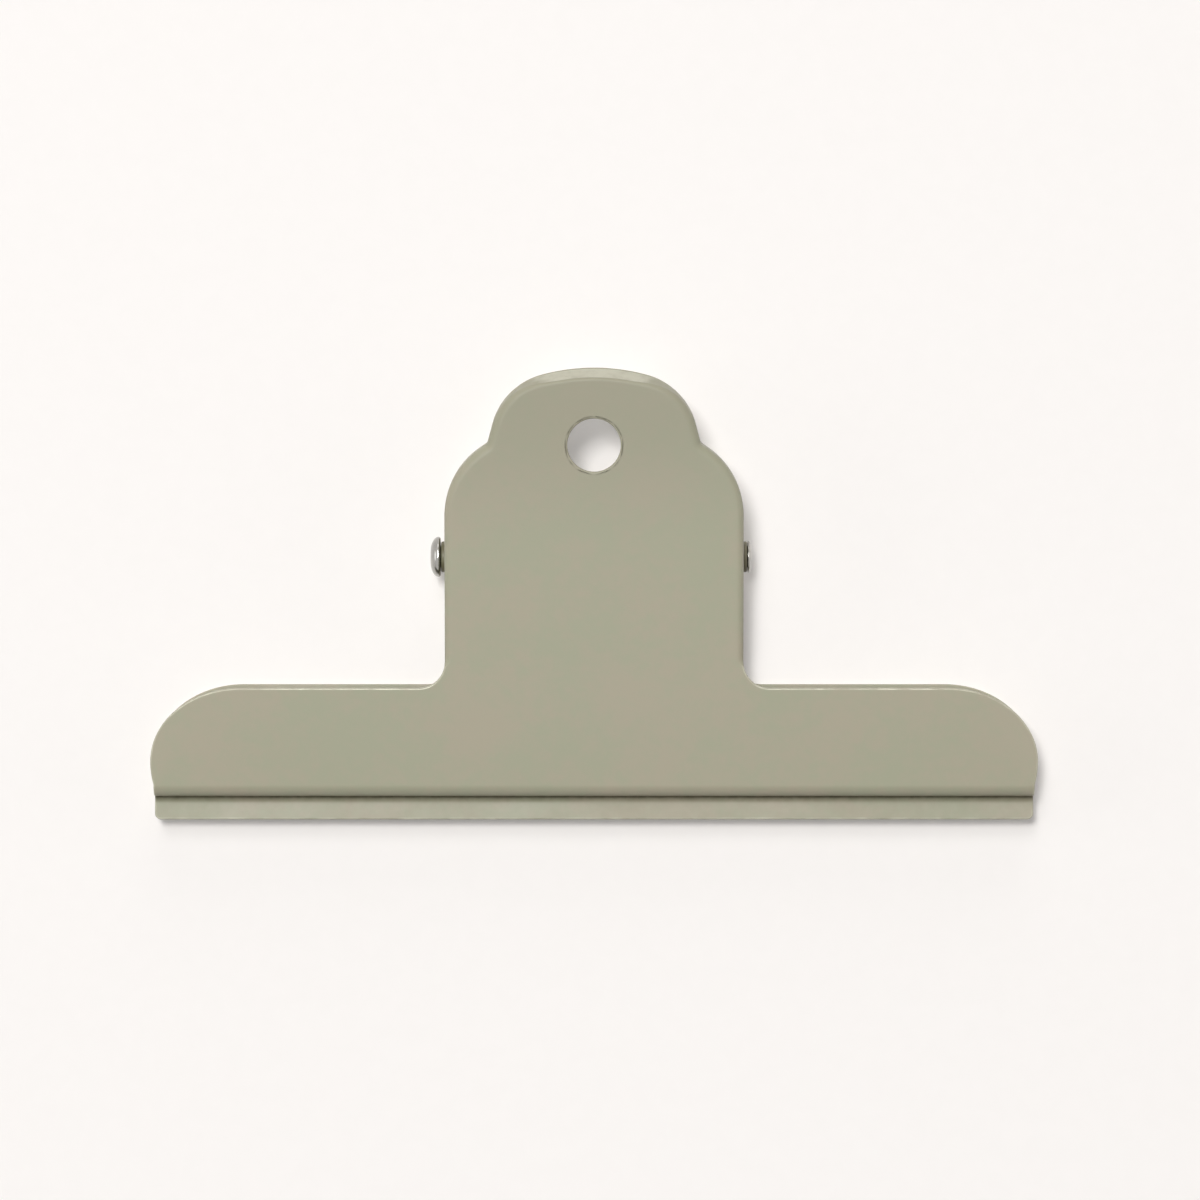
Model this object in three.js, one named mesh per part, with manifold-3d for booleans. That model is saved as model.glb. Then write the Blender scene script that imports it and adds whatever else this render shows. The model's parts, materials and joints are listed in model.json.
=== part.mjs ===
// Wide spring clip for a stack of paper, lying on its back.
// Two stamped T-shaped plates turn on a headed rod through their ears, and two torsion springs
// on the rod push the handles apart, so that the lips of the long jaws close on each other.
//
// Lengths are millimetres and angles are degrees. X runs along the jaws, Y from the lips to the
// handles and Z up. The outer face of the rear plate lies flat on z = 0.
//
// Each plate is drawn in its own frame: x across, y up the plate from the end of its lip, and z
// out of its outer face, which is z = 0. The hinge axis lies hinge.depth below that face.

import * as THREE from 'three';
import { mergeVertices } from 'three/addons/utils/BufferGeometryUtils.js';
import Module from 'manifold-3d';

const wasm = await Module();
wasm.setup();

// Driving dimensions

const sheet = 1.0;
const gap = 0.3;

const jaw = {
  length: 150,
  top: 22.8,
  widest: 10.3,
  cornerRun: 15.3,
  endRadius: 15.2,
};

const mouth = {
  curlRadius: 2.2,
  curlTurn: 88,
  wall: 0.4,
  grooveRadius: 1.2,
  lip: 2.75,
  lipFlare: 8,
  lipCorner: 1.0,
};

const neck = {
  width: 50.4,
  footFillet: 4.4,
};

const head = {
  tip: 76.7,
  notchWidth: 36.0,
  notchHeight: 64.05,
  notchFillet: 1.0,
  shoulderCentre: 11.4,
  sideLean: 15,
  cornerRadius: 11.5,
  domeRadius: 34,
};

const rim = {
  depth: 4.2,
  neckBend: 1.1,
  headBend: 1.4,
  crownBend: 0.4,
  crownLean: 19,
  crownHalf: 6,
  tuck: 0.6,
};

const hanging = { frontDiameter: 9.0, rearDiameter: 10.0, height: 64.0 };

const hinge = {
  height: 44.2,
  depth: 8.2,
  earRadius: 4.2,
  earFlank: 35,
  rodDiameter: 3.4,
  bossDiameter: 5.2,
  bossHeight: 0.7,
};

const rodEnds = {
  headDiameter: 6.8,
  headHeight: 1.5,
  upsetDiameter: 5.4,
  upsetHeight: 0.4,
};

const spring = {
  wire: 1.6,
  rodClearance: 0.6,
  turnGap: 0.5,
  turns: 6,
  leg: 16,
};

const paint = { color: 0xa7a48d, roughness: 0.55, metalness: 0.1 };
const nickel = { color: 0xc9c7bd, roughness: 0.2, metalness: 1.0 };
const steel = { color: 0x9a9a96, roughness: 0.35, metalness: 1.0 };

// Small helpers for angles and solids

const rad = THREE.MathUtils.degToRad;
const heading = (degrees) => new THREE.Vector2(Math.cos(rad(degrees)), Math.sin(rad(degrees)));
const along = (point, direction, distance) => point.clone().addScaledVector(direction, distance);

function solid(geometry) {
  const bare = geometry.clone();
  bare.deleteAttribute('normal');
  bare.deleteAttribute('uv');
  const merged = mergeVertices(bare, 1e-4);
  return new wasm.Manifold(new wasm.Mesh({
    numProp: 3,
    vertProperties: new Float32Array(merged.attributes.position.array),
    triVerts: new Uint32Array(merged.index.array),
  }));
}

function geometryOf(manifold) {
  const mesh = manifold.getMesh();
  const geometry = new THREE.BufferGeometry();
  geometry.setAttribute('position', new THREE.BufferAttribute(new Float32Array(mesh.vertProperties), 3));
  geometry.setIndex(Array.from(mesh.triVerts));
  geometry.computeVertexNormals();
  return geometry;
}

// A prism of an outline in (x, y), from z = low to z = high.
function upright(points, low, high) {
  const shape = new THREE.Shape(points);
  const geometry = new THREE.ExtrudeGeometry(shape, { depth: high - low, bevelEnabled: false });
  return geometry.translate(0, 0, low);
}

// A prism of an outline in (y, z), from x = low to x = high.
function crosswise(points, low, high) {
  const turned = new THREE.Matrix4().makeBasis(
    new THREE.Vector3(0, 1, 0), new THREE.Vector3(0, 0, 1), new THREE.Vector3(1, 0, 0));
  return upright(points, low, high).applyMatrix4(turned);
}

// A disc or rod on the X axis, with its middle at x.
function roundBar(radius, length, x = 0, sides = 32) {
  return new THREE.CylinderGeometry(radius, radius, length, sides).rotateZ(Math.PI / 2).translate(x, 0, 0);
}

// Points of an arc, from one angle to another, both ends included.
function arc(centre, radius, from, to, steps) {
  return Array.from({ length: steps + 1 }, (_, i) => (
    along(centre, heading(from + ((to - from) * i) / steps), radius)));
}

// Mouth: the curl, the groove and the flared lip, seen along X

// The opening angle between the plates follows from the bulge inside each groove, which has to
// lie half a gap from the middle plane through the hinge axis.
function mouthPath(flareTurn) {
  const { curlRadius, curlTurn, wall, grooveRadius, lip } = mouth;
  const down = (turn) => new THREE.Vector2(-Math.cos(rad(turn)), -Math.sin(rad(turn)));
  const outward = (turn) => new THREE.Vector2(-Math.sin(rad(turn)), Math.cos(rad(turn)));
  const curlCentre = new THREE.Vector2(0, -curlRadius);
  const curlEnd = along(curlCentre, outward(curlTurn), curlRadius);
  const wallEnd = along(curlEnd, down(curlTurn), wall);
  const grooveCentre = along(wallEnd, outward(curlTurn), grooveRadius);
  const grooveEnd = along(grooveCentre, outward(-flareTurn), -grooveRadius);
  const lipEnd = along(grooveEnd, down(-flareTurn), lip);
  const start = -lipEnd.x;
  return { curlCentre, grooveCentre, lipEnd, start, down, outward };
}

function openingAngle() {
  const bulge = mouth.grooveRadius + sheet + gap / 2;
  let half = 5;
  for (let i = 0; i < 20; i += 1) {
    const path = mouthPath(half + mouth.lipFlare);
    const run = hinge.height - (path.grooveCentre.x + path.start);
    const rise = hinge.depth + path.grooveCentre.y;
    const reach = Math.hypot(run, rise);
    half = THREE.MathUtils.radToDeg(Math.acos(bulge / reach) - Math.atan2(run, rise));
  }
  return 2 * half;
}

const opening = openingAngle();
const flareTurn = opening / 2 + mouth.lipFlare;
const path = mouthPath(flareTurn);

// Depth of the outer face below z = 0, and of the inner face, as one closed outline in (y, z).
function sheetProfile() {
  const { curlRadius, curlTurn, grooveRadius } = mouth;
  const side = (offset) => {
    const shifted = (turn, centre, radius) => along(centre, path.outward(turn), radius);
    const points = [new THREE.Vector2(head.tip, -offset)];
    for (let i = 0; i <= 8; i += 1) {
      points.push(shifted((curlTurn * i) / 8, path.curlCentre, curlRadius - offset));
    }
    for (let i = 0; i <= 8; i += 1) {
      const turn = curlTurn - ((curlTurn + flareTurn) * i) / 8;
      points.push(shifted(turn, path.grooveCentre, -(grooveRadius + offset)));
    }
    points.push(along(path.lipEnd, path.outward(-flareTurn), -offset));
    return points.map((p, i) => (i === 0 ? p : new THREE.Vector2(p.x + path.start, p.y)));
  };
  return [...side(0), ...side(sheet).reverse()];
}

// Edge of the handle: one station after another round the neck, shoulder and head

// The point at a set distance from a line's foot and from a centre, on the upper side.
function between(normal, distance, centre, reach) {
  const foot = normal.clone().multiplyScalar(distance);
  const up = new THREE.Vector2(-normal.y, normal.x);
  const offset = foot.clone().sub(centre);
  const middle = offset.dot(up);
  const root = Math.sqrt(middle * middle - offset.lengthSq() + reach * reach);
  return along(foot, up, root - middle);
}

const angleOf = (v) => THREE.MathUtils.radToDeg(Math.atan2(v.y, v.x));

// How far the turned-down edge reaches below the outer face, ear included, beside the height y.
function rimDepth(y) {
  const shortest = sheet + gap;
  const { earRadius, earFlank, depth, height } = hinge;
  const beside = Math.abs(y - height);
  const tangent = earRadius * Math.cos(rad(earFlank));
  const ear = beside <= tangent
    ? depth + Math.sqrt(earRadius ** 2 - beside ** 2)
    : depth + earRadius * Math.sin(rad(earFlank)) - (beside - tangent) / Math.tan(rad(earFlank));
  const foot = jaw.top + neck.footFillet;
  const rise = THREE.MathUtils.clamp((y - foot) / (earRootHeight(-1) - foot), 0, 1);
  return Math.max(ear, shortest + (rim.depth - shortest) * rise);
}

// Where the ear's flank meets the plain rim, below (-1) or above (1) the hinge.
function earRootHeight(side) {
  const { earRadius, earFlank, depth, height } = hinge;
  const drop = depth + earRadius * Math.sin(rad(earFlank)) - rim.depth;
  return height + side * (earRadius * Math.cos(rad(earFlank)) + drop * Math.tan(rad(earFlank)));
}

function handleEdge(neckHalf) {
  const shoulderRadius = neckHalf - head.shoulderCentre;
  const notch = new THREE.Vector2(head.notchWidth / 2, head.notchHeight);
  const across = notch.x - head.shoulderCentre;
  const shoulder = new THREE.Vector2(
    head.shoulderCentre, notch.y - Math.sqrt(shoulderRadius ** 2 - across ** 2));
  const dome = new THREE.Vector2(0, head.tip - head.domeRadius);
  const sideNormal = heading(head.sideLean);
  const sideDistance = sideNormal.dot(notch);
  const notchCentre = between(
    sideNormal, sideDistance + head.notchFillet, shoulder, shoulderRadius + head.notchFillet);
  const cornerCentre = between(
    sideNormal, sideDistance - head.cornerRadius, dome, head.domeRadius - head.cornerRadius);
  const notchTurn = angleOf(notchCentre.clone().sub(shoulder));
  const domeTurn = angleOf(cornerCentre.clone().sub(dome));

  const stations = [];
  const add = (point, turn) => stations.push({ x: point.x, y: point.y, turn });
  const beside = (y) => add(new THREE.Vector2(neckHalf, y), 0);
  const sweep = (centre, radius, from, to, steps, skip = 0) => {
    arc(centre, radius, from, to, steps).slice(skip).forEach((point, i) => {
      add(point, from + ((to - from) * (i + skip)) / steps);
    });
  };

  beside(jaw.top + neck.footFillet);
  beside(earRootHeight(-1));
  const lobe = 90 - hinge.earFlank;
  for (let i = 0; i <= 6; i += 1) {
    beside(hinge.height + hinge.earRadius * Math.sin(rad(-lobe + (lobe * i) / 3)));
  }
  beside(earRootHeight(1));
  sweep(shoulder, shoulderRadius, 0, notchTurn, 6, shoulder.y - earRootHeight(1) > gap ? 0 : 1);
  arc(notchCentre, head.notchFillet, notchTurn + 180, head.sideLean + 180, 3).slice(1)
    .forEach((point, i) => add(point, notchTurn + ((head.sideLean - notchTurn) * (i + 1)) / 3));
  sweep(cornerCentre, head.cornerRadius, head.sideLean, domeTurn, 5);
  sweep(dome, head.domeRadius, domeTurn, 90, 6, 1);

  for (const s of stations) {
    const onNeck = THREE.MathUtils.smoothstep(s.y, shoulder.y, notch.y);
    const crown = s.y > notch.y ? 1 - THREE.MathUtils.smoothstep(s.x, rim.crownHalf, notch.x) : 0;
    const side = rim.neckBend + (rim.headBend - rim.neckBend) * onNeck;
    s.bend = side + (rim.crownBend - side) * crown;
    s.lean = rim.crownLean * crown;
    s.depth = rimDepth(s.y);
  }
  const mirrored = stations.slice(0, -1).reverse().map((s) => ({ ...s, x: -s.x, turn: 180 - s.turn }));
  return [...stations, ...mirrored];
}

// The turned-down edge at one station, as points (outward, z). It starts tuck inside the bend.
function rimSection({ bend, lean, depth }) {
  const turn = 90 - lean;
  const steps = 3;
  const wallWay = new THREE.Vector2(Math.cos(rad(turn)), -Math.sin(rad(turn)));
  const inward = new THREE.Vector2(-Math.sin(rad(turn)), -Math.cos(rad(turn)));
  const bent = (start, z, radius) => Array.from({ length: steps + 1 }, (_, i) => {
    const a = rad((turn * i) / steps);
    return new THREE.Vector2(start + radius * Math.sin(a), z - radius * (1 - Math.cos(a)));
  });
  // Places an arc and a wall so that they end at the foot.
  const startFor = (foot, z, radius) => {
    const length = (z - radius * (1 - Math.cos(rad(turn))) - foot.y) / -wallWay.y;
    return foot.x - radius * Math.sin(rad(turn)) - length * wallWay.x;
  };
  const foot = new THREE.Vector2(0, -depth);
  const innerFoot = along(foot, inward, sheet);
  const innerBend = Math.max(bend - sheet, 0.05);
  const start = startFor(foot, 0, bend);
  const innerStart = startFor(innerFoot, -sheet, innerBend);
  return {
    start,
    points: [
      new THREE.Vector2(start - rim.tuck, 0),
      ...bent(start, 0, bend),
      foot,
      innerFoot,
      ...bent(innerStart, -sheet, innerBend).reverse(),
      new THREE.Vector2(start - rim.tuck, -sheet),
    ],
  };
}

// One closed ring of sections, joined from station to station and capped at both ends.
function rimBody(stations) {
  const sections = stations.map(rimSection);
  const count = sections[0].points.length;
  const positions = [];
  stations.forEach((s, i) => {
    const out = heading(s.turn);
    for (const p of sections[i].points) {
      positions.push(s.x + out.x * p.x, s.y + out.y * p.x, p.y);
    }
  });
  const index = [];
  for (let i = 0; i + 1 < stations.length; i += 1) {
    for (let k = 0; k < count; k += 1) {
      const a = i * count + k;
      const b = i * count + ((k + 1) % count);
      index.push(a, b, a + count, b, b + count, a + count);
    }
  }
  const last = (stations.length - 1) * count;
  for (const [a, b, c] of THREE.ShapeUtils.triangulateShape(sections[0].points, [])) {
    index.push(a, b, c);
  }
  for (const [a, b, c] of THREE.ShapeUtils.triangulateShape(sections.at(-1).points, [])) {
    index.push(last + c, last + b, last + a);
  }
  const geometry = new THREE.BufferGeometry();
  geometry.setAttribute('position', new THREE.Float32BufferAttribute(positions, 3));
  geometry.setIndex(index);
  return geometry;
}

// Plates

// Plan of the flat sheet: jaw ends, neck and the handle inside its bend.
function planOutline(neckHalf, stations) {
  const half = jaw.length / 2;
  const flatEnd = Math.asin((jaw.widest - path.start) / jaw.endRadius);
  const endCentre = new THREE.Vector2(half - jaw.endRadius, jaw.widest);
  const lower = arc(endCentre, jaw.endRadius, THREE.MathUtils.radToDeg(-flatEnd), 0, 4);
  const lipHalf = lower[0].x;
  const corner = new THREE.Vector2(lipHalf - mouth.lipCorner, mouth.lipCorner);
  const upper = Array.from({ length: 8 }, (_, i) => {
    const way = heading((90 * (i + 1)) / 8);
    return new THREE.Vector2(
      half - jaw.cornerRun * (1 - way.x), jaw.widest + (jaw.top - jaw.widest) * way.y);
  });
  const filletCentre = new THREE.Vector2(neckHalf + neck.footFillet, jaw.top + neck.footFillet);
  const right = [
    ...arc(corner, mouth.lipCorner, -90, 0, 4),
    ...lower,
    ...upper,
    ...arc(filletCentre, neck.footFillet, 270, 180, 5),
  ];
  const left = right.map((p) => new THREE.Vector2(-p.x, p.y)).reverse();
  const handle = stations.map((s) => (
    along(new THREE.Vector2(s.x, s.y), heading(s.turn), rimSection(s).start)));
  return [...right, ...handle, ...left];
}

function plate(neckWidth, holeDiameter, bossHeight) {
  const neckHalf = neckWidth / 2;
  const stations = handleEdge(neckHalf);
  const deepest = hinge.depth + hinge.earRadius;
  let body = solid(crosswise(sheetProfile(), -jaw.length, jaw.length))
    .intersect(solid(upright(planOutline(neckHalf, stations), -deepest, sheet)))
    .add(solid(rimBody(stations)));
  const bore = hinge.rodDiameter / 2 + gap;
  if (bossHeight > 0) {
    const length = bossHeight + sheet / 2;
    const middle = neckHalf + bossHeight - length / 2;
    for (const side of [-1, 1]) {
      const boss = roundBar(hinge.bossDiameter / 2, length, side * middle);
      body = body.add(solid(boss.translate(0, hinge.height, -hinge.depth)));
    }
  }
  const hole = new THREE.CylinderGeometry(holeDiameter / 2, holeDiameter / 2, 4 * sheet, 32)
    .rotateX(Math.PI / 2).translate(0, hanging.height, 0);
  const earBore = roundBar(bore, 2 * neckWidth).translate(0, hinge.height, -hinge.depth);
  return geometryOf(body.subtract(solid(earBore)).subtract(solid(hole)));
}

// Hinge rod: a domed head on the left, a plain shank and an upset end on the right

function hingeRod() {
  const radius = hinge.rodDiameter / 2;
  const seat = neck.width / 2 + hinge.bossHeight + gap;
  const { headDiameter, headHeight, upsetDiameter, upsetHeight } = rodEnds;
  const profile = [
    ...Array.from({ length: 7 }, (_, i) => {
      const way = heading((90 * i) / 6);
      return new THREE.Vector2((headDiameter / 2) * way.y, -seat - headHeight * way.x);
    }),
    new THREE.Vector2(radius, -seat),
    new THREE.Vector2(radius, seat),
    new THREE.Vector2(upsetDiameter / 2, seat),
    new THREE.Vector2(upsetDiameter / 2 - upsetHeight / 3, seat + upsetHeight * 0.7),
    new THREE.Vector2(upsetDiameter / 4, seat + upsetHeight),
    new THREE.Vector2(0, seat + upsetHeight),
  ];
  return new THREE.LatheGeometry(profile, 24).rotateZ(-Math.PI / 2);
}

// Torsion spring: a straight leg, the turns and the other straight leg, in one tube

function springPath() {
  const coil = hinge.rodDiameter / 2 + spring.rodClearance + spring.wire / 2;
  const pitch = spring.wire + spring.turnGap;
  const reach = hinge.depth - sheet - gap - spring.wire / 2;
  const slope = THREE.MathUtils.radToDeg(
    Math.asin(reach / Math.hypot(coil, spring.leg)) - Math.atan2(coil, spring.leg));
  const away = opening / 2 + slope;
  const turned = 180 - 2 * away + 360 * spring.turns;
  const length = (pitch * turned) / 360;
  const steps = Math.round(turned / 45);
  const points = [];
  const place = (x, flat) => points.push(new THREE.Vector3(x, flat.x, flat.y));
  const topTouch = heading(90 + away).multiplyScalar(coil);
  const lowTouch = heading(-90 - away).multiplyScalar(coil);
  const lead = spring.wire;
  place(-length / 2, along(topTouch, heading(away), spring.leg));
  place(-length / 2, along(topTouch, heading(away), spring.leg - lead));
  for (let i = 0; i <= steps; i += 1) {
    const share = i / steps;
    place(length * (share - 0.5), heading(90 + away + turned * share).multiplyScalar(coil));
  }
  place(length / 2, along(lowTouch, heading(-away), spring.leg - lead));
  place(length / 2, along(lowTouch, heading(-away), spring.leg));
  return points;
}

// A closed tube with five sides along the points, its section turned as little as it can be.
function tube(points, radius, sides = 5) {
  const positions = [];
  const index = [];
  const tangents = points.map((p, i) => {
    const before = points[Math.max(i - 1, 0)];
    const after = points[Math.min(i + 1, points.length - 1)];
    return after.clone().sub(before).normalize();
  });
  let normal = new THREE.Vector3(1, 0, 0);
  points.forEach((p, i) => {
    normal = normal.clone().addScaledVector(tangents[i], -normal.dot(tangents[i])).normalize();
    const binormal = tangents[i].clone().cross(normal);
    for (let k = 0; k < sides; k += 1) {
      const way = heading((360 * k) / sides).multiplyScalar(radius);
      const q = p.clone().addScaledVector(normal, way.x).addScaledVector(binormal, way.y);
      positions.push(q.x, q.y, q.z);
    }
  });
  for (let i = 0; i + 1 < points.length; i += 1) {
    for (let k = 0; k < sides; k += 1) {
      const a = i * sides + k;
      const b = i * sides + ((k + 1) % sides);
      index.push(a, b, a + sides, b, b + sides, a + sides);
    }
  }
  const last = (points.length - 1) * sides;
  for (let k = 1; k + 1 < sides; k += 1) {
    index.push(0, k + 1, k, last, last + k, last + k + 1);
  }
  const geometry = new THREE.BufferGeometry();
  geometry.setAttribute('position', new THREE.Float32BufferAttribute(positions, 3));
  geometry.setIndex(index);
  return geometry;
}

// Least distance between points of the wire that are more than half a turn apart, less the wire.
function leastGap(points) {
  let least = Infinity;
  for (let i = 0; i < points.length; i += 1) {
    for (let k = i + 5; k < points.length; k += 1) {
      least = Math.min(least, points[i].distanceTo(points[k]));
    }
  }
  return least - spring.wire;
}

function torsionSpring(side) {
  const points = springPath();
  const geometry = tube(points, spring.wire / 2);
  geometry.rotateX(rad(opening / 2));
  if (side < 0) {
    geometry.rotateY(Math.PI);
    geometry.rotateX(rad(opening));
  }
  const innerEarFace = neck.width / 2 - 2 * sheet - gap;
  return geometry.translate((side * innerEarFace) / 2, 0, 0);
}

// Assembly

function named(name, geometry, look) {
  const mesh = new THREE.Mesh(geometry, new THREE.MeshStandardMaterial(look));
  mesh.name = name;
  return mesh;
}

const clip = new THREE.Group();

const innerNeck = neck.width - 2 * (sheet + gap);
const rearPlate = named('rear_plate', plate(innerNeck, hanging.rearDiameter, 0), paint);
rearPlate.rotation.y = Math.PI;

// Carries the front plate: its origin is the hinge axis, so that the plate swings about it.
const frontSwing = new THREE.Group();
frontSwing.position.set(0, hinge.height, hinge.depth);
frontSwing.rotation.x = rad(opening);
const frontPlate = named('front_plate', plate(neck.width, hanging.frontDiameter, hinge.bossHeight), paint);
frontPlate.position.set(0, -hinge.height, hinge.depth);
frontSwing.add(frontPlate);

const onAxis = new THREE.Group();
onAxis.position.copy(frontSwing.position);
onAxis.add(named('hinge_rod', hingeRod(), nickel));
onAxis.add(named('spring_left', torsionSpring(-1), steel));
onAxis.add(named('spring_right', torsionSpring(1), steel));

clip.add(rearPlate, frontSwing, onAxis);
clip.updateMatrixWorld(true);

// The origin is the middle of the footprint, on the surface that the clip lies on.
const extent = new THREE.Box3().setFromObject(clip, true);
clip.position.y = -(extent.min.y + extent.max.y) / 2;
clip.position.z = -extent.min.z;

console.log(`angle between the plates ${opening.toFixed(3)} degrees`);
console.log(`extent ${extent.getSize(new THREE.Vector3()).toArray().map((v) => v.toFixed(3))}`);
console.log(`hinge axis at y ${(hinge.height + clip.position.y).toFixed(3)}, z ${hinge.depth + clip.position.z}`);
console.log(`least gap in the spring wire ${leastGap(springPath()).toFixed(3)} mm`);

export default clip;
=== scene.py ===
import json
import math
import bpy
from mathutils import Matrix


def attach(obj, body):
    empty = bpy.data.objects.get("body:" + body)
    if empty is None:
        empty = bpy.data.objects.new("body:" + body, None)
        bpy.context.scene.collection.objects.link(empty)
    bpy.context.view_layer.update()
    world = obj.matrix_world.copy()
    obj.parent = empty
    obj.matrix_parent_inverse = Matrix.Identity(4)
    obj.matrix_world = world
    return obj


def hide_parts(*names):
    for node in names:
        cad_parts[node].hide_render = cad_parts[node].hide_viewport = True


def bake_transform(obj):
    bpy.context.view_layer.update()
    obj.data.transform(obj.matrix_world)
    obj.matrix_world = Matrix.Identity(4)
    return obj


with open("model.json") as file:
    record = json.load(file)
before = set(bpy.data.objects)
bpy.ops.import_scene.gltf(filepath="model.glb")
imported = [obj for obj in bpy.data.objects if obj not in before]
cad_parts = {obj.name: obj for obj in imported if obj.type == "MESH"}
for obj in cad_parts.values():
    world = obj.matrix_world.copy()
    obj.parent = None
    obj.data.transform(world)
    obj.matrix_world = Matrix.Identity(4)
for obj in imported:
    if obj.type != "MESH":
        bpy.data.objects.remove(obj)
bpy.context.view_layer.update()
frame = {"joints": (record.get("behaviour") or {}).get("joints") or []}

# Wide spring clip lying on its back on a pale table, seen from almost straight above.
# Lengths are millimetres in the drawing code and metres once a piece is placed. Angles are degrees.
# Each plate is drawn in its own frame: x across, y up the plate from its lip, z out of its face.

from types import SimpleNamespace as Sizes

import bpy
from mathutils import Matrix, Vector
from mathutils.geometry import delaunay_2d_cdt

MM = 0.001

# Sizes of the clip, the same as in the part's source but for a slightly rounder bend at the crown

SHEET = 1.0
GAP = 0.3
jaw = Sizes(length=150.0, top=22.8, widest=10.3, corner_run=15.3, end_radius=15.2)
mouth = Sizes(curl_radius=2.2, curl_turn=88, wall=0.4, groove_radius=1.2, lip=2.75, lip_flare=8,
              lip_corner=1.0)
neck = Sizes(width=50.4, foot_fillet=4.4)
head = Sizes(tip=76.7, notch_width=36.0, notch_height=64.05, notch_fillet=1.0, shoulder_centre=11.4,
             side_lean=15, corner_radius=11.5, dome_radius=34.0)
rim = Sizes(depth=4.2, neck_bend=1.1, head_bend=1.4, crown_bend=0.5, crown_lean=19.0, crown_half=6.0)
hanging = Sizes(front_diameter=9.0, rear_diameter=10.0, height=64.0)
hinge = Sizes(height=44.2, depth=8.2, ear_radius=4.2, ear_flank=35, rod_diameter=3.4,
              boss_diameter=5.2, boss_height=0.7)
rod_ends = Sizes(head_diameter=6.8, head_height=1.5, upset_diameter=5.4, upset_height=0.4)
spring = Sizes(wire=1.6, rod_clearance=0.6, turn_gap=0.5, turns=6, leg=16.0)

# Roundings that only the finished look has, and the rod's clearance at its seats

CUT_EDGE = 0.2
HOLE_EDGE = 0.2
BOSS_FILLET = 0.2
HEAD_EDGE = 0.35
ROD_EDGE = 0.15
SEAT_GAP = 0.1

# Width of the flat strip beside a rounding, which keeps its shading from spreading over the face

GUARD = 0.25

# Painted shade: how much the colour is darkened on the lip, on the inner side of a plate and on the bosses
# (left -1, right 1), next to 1 in the groove

SHADE_ON_LIP = 0.2
SHADE_INSIDE = 0.3
SHADE_ON_BOSS = {-1: 1.0, 1: 0.5}

# How much painted sheen the leaning wall of the crown shows, laid on through the edge marks

CROWN_SHEEN = 1.2

# Painted shade: where along Y, in metres, the coat starts to turn darker towards the head and is darkest,
# and by what share

HEAD_SHADE_FROM = 0.004
HEAD_SHADE_TO = 0.032
HEAD_SHADE_SHARE = 0.65

# Sides of the turned and drilled rounds, and how finely the edges and the coils are stepped

HANGING_SIDES = 96
BORE_SIDES = 48
ROD_SIDES = 64
WIRE_SIDES = 16
BEND_STEPS = 8
CORNER_STEPS = 3
HOLE_STEPS = 4
COIL_STEP = 7.5

# Small helpers

def sine(degrees):
    return math.sin(math.radians(degrees))


def cosine(degrees):
    return math.cos(math.radians(degrees))


def way(degrees):
    """A unit step in the plane, turned from the first axis."""
    return Vector((cosine(degrees), sine(degrees)))


def steps(low, high, count):
    """Even stops from low to high, both included."""
    return [low + (high - low) * i / count for i in range(count + 1)]


def smooth(value, low, high):
    """Rises softly from 0 at low to 1 at high."""
    share = min(max((value - low) / (high - low), 0.0), 1.0)
    return share * share * (3 - 2 * share)


class Skin:
    """Points, faces and wear marks of one piece, in millimetres."""

    def __init__(self):
        self.points = []
        self.wear_and_sheen = []
        self.recess = []
        self.run = []
        self.faces = []

    def add(self, point, wear_and_sheen=0.0, run=(0.0, 0.0, 0.0), recess=0.0):
        self.points.append(Vector(point))
        self.wear_and_sheen.append(wear_and_sheen)
        self.recess.append(recess)
        self.run.append(run)
        return len(self.points) - 1

    def bridge(self, rows, closed=False, skip=None):
        """Quads between rows of point numbers. closed joins the last row to the first."""
        count = len(rows)
        for i in range(count if closed else count - 1):
            here, there = rows[i], rows[(i + 1) % count]
            for k in range(len(here) - 1):
                if skip and skip(i, k):
                    continue
                self.faces.append((here[k], here[k + 1], there[k + 1], there[k]))

    def fill(self, loops, flat, lines=(), flip=False, hollow=None):
        """Triangles over a flat region with holes. flat gives the place of a point number on it."""
        numbers = [n for loop in loops for n in loop]
        where = {n: i for i, n in enumerate(numbers)}
        edges = [(where[loop[i - 1]], where[loop[i]]) for loop in loops for i in range(len(loop))]
        edges += [(where[a], where[b]) for a, b in lines]
        places = [Vector(flat(n)) for n in numbers]
        points, _, faces, sources, _, _ = delaunay_2d_cdt(places, edges, [], 1, 1e-6)
        for face in faces:
            middle = sum((Vector(points[i]) for i in face), Vector((0.0, 0.0))) / len(face)
            if hollow and hollow(middle):
                continue
            corners = [numbers[sources[i][0]] for i in face]
            self.faces.append(tuple(reversed(corners)) if flip else tuple(corners))


def make_piece(name, skin, place, material):
    """A mesh object of the skin, its points moved by place and turned into metres."""
    mesh = bpy.data.meshes.new(name)
    mesh.from_pydata([place @ p * MM for p in skin.points], [], skin.faces)
    for label, values in (("wear_and_sheen", skin.wear_and_sheen), ("recess", skin.recess)):
        marks = mesh.attributes.new(label, "FLOAT", "POINT")
        marks.data.foreach_set("value", values)
    runs = mesh.attributes.new("run", "FLOAT_VECTOR", "POINT")
    runs.data.foreach_set("vector", [v for run in skin.run for v in run])
    mesh.materials.append(material)
    mesh.shade_smooth()
    mesh.validate()
    piece = bpy.data.objects.new(name, mesh)
    bpy.context.scene.collection.objects.link(piece)
    return piece


# Mouth: curl, groove and flared lip, rolled from the flat sheet

def down(turn):
    return -way(turn)


def outward(turn):
    return Vector((-sine(turn), cosine(turn)))


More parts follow.
